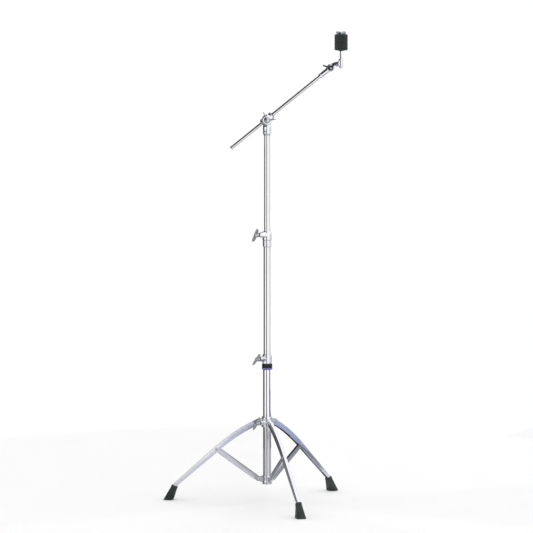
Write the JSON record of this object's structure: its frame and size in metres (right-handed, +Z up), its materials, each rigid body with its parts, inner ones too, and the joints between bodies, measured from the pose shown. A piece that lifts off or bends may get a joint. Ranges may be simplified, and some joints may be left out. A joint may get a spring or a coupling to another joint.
{
  "type": "cymbal boom stand",
  "caption": "Folding tripod stand with sliding tubes, a clamped boom arm and a tilting felt-padded seat for a cymbal.",
  "frame": {"origin": "on the floor, under the axis of the upright tubes", "axes": "+Z up along the tubes, +X the way the boom points, +Y the side of the post that the boom lies on"},
  "size_m": [0.574, 0.5692, 1.4692],
  "materials": {
    "chrome_tube": "polished",
    "chrome_casting": "polished",
    "chrome_sheet": "polished",
    "rivet_steel": "satin",
    "wing_metal": "polished",
    "dark_metal": "gloss",
    "foot_rubber": "matte",
    "black_plastic": "satin",
    "nylon": "matte",
    "violet_plastic": "satin",
    "felt": "felted"
  },
  "bodies": {
    "base": {"base_tube": "chrome_tube", "lower_collar": "chrome_casting", "lower_rivets": "rivet_steel", "base_clamp": "chrome_casting", "base_ring": "black_plastic", "base_band": "violet_plastic"},
    "left_strut": {"strut_left": "chrome_sheet"},
    "left_leg": {"leg_left": "chrome_sheet", "knee_rivet_left": "rivet_steel", "foot_left": "foot_rubber", "foot_pin_left": "rivet_steel"},
    "collar": {"upper_collar": "chrome_casting", "upper_rivets": "rivet_steel"},
    "right_leg": {"leg_right": "chrome_sheet", "knee_rivet_right": "rivet_steel", "foot_right": "foot_rubber", "foot_pin_right": "rivet_steel"},
    "right_strut": {"strut_right": "chrome_sheet"},
    "front_leg": {"leg_front": "chrome_sheet", "knee_rivet_front": "rivet_steel", "foot_front": "foot_rubber", "foot_pin_front": "rivet_steel"},
    "front_strut": {"strut_front": "chrome_sheet"},
    "collar_bolt": {"collar_wing_bolt": "wing_metal"},
    "base_bolt": {"base_wing_bolt": "wing_metal"},
    "base_liner": {"base_insert": "nylon"},
    "middle_post": {"middle_tube": "chrome_tube", "upper_clamp": "chrome_casting"},
    "upper_bolt": {"upper_wing_bolt": "wing_metal"},
    "upper_liner": {"upper_insert": "nylon"},
    "upper_post": {"upper_tube": "chrome_tube", "tilter_base": "chrome_casting", "tilter_washer": "rivet_steel"},
    "tilter_head": {"boom_holder": "chrome_casting", "tilter_eye_bolt": "rivet_steel"},
    "tilter_nut": {"tilter_wing_nut": "wing_metal"},
    "boom_grip": {"boom_liner": "black_plastic"},
    "boom": {"boom_rod": "chrome_tube", "boom_end_cap": "chrome_casting", "boom_neck": "chrome_casting", "seat_tilter_bolt": "rivet_steel", "seat_tilter_washer": "rivet_steel"},
    "seat_nut": {"seat_tilter_wing_nut": "dark_metal"},
    "seat_head": {"seat_link": "chrome_casting", "cymbal_rod": "chrome_tube", "rod_sleeve": "black_plastic", "lower_felt": "felt"},
    "top_felt": {"upper_felt": "felt"},
    "top_nut": {"cymbal_wing_nut": "wing_metal"}
  },
  "joints": [
    {"name": "leg_fold", "type": "hinge", "parent": "base", "child": "left_strut", "pos_m": [-0.02798, 0.00544, 0.075], "axis": [0.1908, 0.9816, 0], "range_deg": [0, 48]},
    {"name": "left_knee", "type": "hinge", "parent": "left_strut", "child": "left_leg", "pos_m": [-0.15706, 0.03053, 0.1645], "axis": [-0.1908, -0.9816, 0], "range_deg": [0, 96]},
    {"name": "collar_level", "type": "hinge", "parent": "left_leg", "child": "collar", "pos_m": [-0.02798, 0.00544, 0.254], "axis": [-0.1908, -0.9816, 0], "range_deg": [-48, 0]},
    {"name": "right_leg_fold", "type": "hinge", "parent": "collar", "child": "right_leg", "pos_m": [0.0187, 0.02151, 0.254], "axis": [-0.7547, 0.6561, 0], "range_deg": [0, 48]},
    {"name": "front_leg_fold", "type": "hinge", "parent": "collar", "child": "front_leg", "pos_m": [0.00928, -0.02695, 0.254], "axis": [0.9455, 0.3256, 0], "range_deg": [0, 48]},
    {"name": "right_knee", "type": "hinge", "parent": "right_leg", "child": "right_strut", "pos_m": [0.10497, 0.12075, 0.1645], "axis": [-0.7547, 0.6561, 0], "range_deg": [-96, 0]},
    {"name": "front_knee", "type": "hinge", "parent": "front_leg", "child": "front_strut", "pos_m": [0.05209, -0.15128, 0.1645], "axis": [0.9455, 0.3256, 0], "range_deg": [-96, 0]},
    {"name": "collar_bolt_turn", "type": "hinge", "parent": "collar", "child": "collar_bolt", "pos_m": [0, 0, 0.2545], "axis": [-0.6561, -0.7547, 0], "continuous": true},
    {"name": "base_bolt_turn", "type": "hinge", "parent": "base", "child": "base_bolt", "pos_m": [0, 0, 0.454], "axis": [-0.7431, -0.6691, 0], "continuous": true},
    {"name": "middle_turn", "type": "hinge", "parent": "base", "child": "base_liner", "pos_m": [0, 0, 0.45], "axis": [0, 0, 1], "continuous": true},
    {"name": "middle_slide", "type": "slide", "parent": "base_liner", "child": "middle_post", "axis": [0, 0, 1], "range_m": [-0.235, 0.085]},
    {"name": "upper_bolt_turn", "type": "hinge", "parent": "middle_post", "child": "upper_bolt", "pos_m": [0, 0, 0.841], "axis": [-0.8192, -0.5736, 0], "continuous": true},
    {"name": "upper_turn", "type": "hinge", "parent": "middle_post", "child": "upper_liner", "pos_m": [0, 0, 0.84], "axis": [0, 0, 1], "continuous": true},
    {"name": "upper_slide", "type": "slide", "parent": "upper_liner", "child": "upper_post", "axis": [0, 0, 1], "range_m": [-0.29, 0.08]},
    {"name": "boom_tilt", "type": "hinge", "parent": "upper_post", "child": "tilter_head", "pos_m": [0, 0, 1.197], "axis": [0, -1, 0], "range_deg": [-119, 51]},
    {"name": "tilter_nut_turn", "type": "hinge", "parent": "tilter_head", "child": "tilter_nut", "pos_m": [0, 0, 1.197], "axis": [0, 1, 0], "continuous": true},
    {"name": "boom_roll", "type": "hinge", "parent": "tilter_head", "child": "boom_grip", "pos_m": [0, 0.028, 1.197], "axis": [-0.776, 0, -0.6307], "continuous": true},
    {"name": "boom_slide", "type": "slide", "parent": "boom_grip", "child": "boom", "axis": [0.776, 0, 0.6307], "range_m": [-0.12, 0.112]},
    {"name": "seat_tilt", "type": "hinge", "parent": "boom", "child": "seat_head", "pos_m": [0.19634, 0.028, 1.35656], "axis": [0, 1, 0], "range_deg": [-40, 100]},
    {"name": "seat_nut_turn", "type": "hinge", "parent": "boom", "child": "seat_nut", "pos_m": [0.19634, 0.028, 1.35656], "axis": [0, 1, 0], "continuous": true},
    {"name": "felt_lift", "type": "slide", "parent": "seat_head", "child": "top_felt", "axis": [0, 0, 1], "range_m": [0, 0.06]},
    {"name": "top_nut_turn", "type": "hinge", "parent": "top_felt", "child": "top_nut", "pos_m": [0.2285, 0.028, 1.463], "axis": [0, 0, 1], "continuous": true}
  ],
  "couplings": [
    {"joint": "left_knee", "follows": "leg_fold", "ratio": 2},
    {"joint": "collar_level", "follows": "leg_fold", "ratio": -1},
    {"joint": "right_leg_fold", "follows": "leg_fold", "ratio": 1},
    {"joint": "front_leg_fold", "follows": "leg_fold", "ratio": 1},
    {"joint": "right_knee", "follows": "leg_fold", "ratio": -2},
    {"joint": "front_knee", "follows": "leg_fold", "ratio": -2}
  ]
}
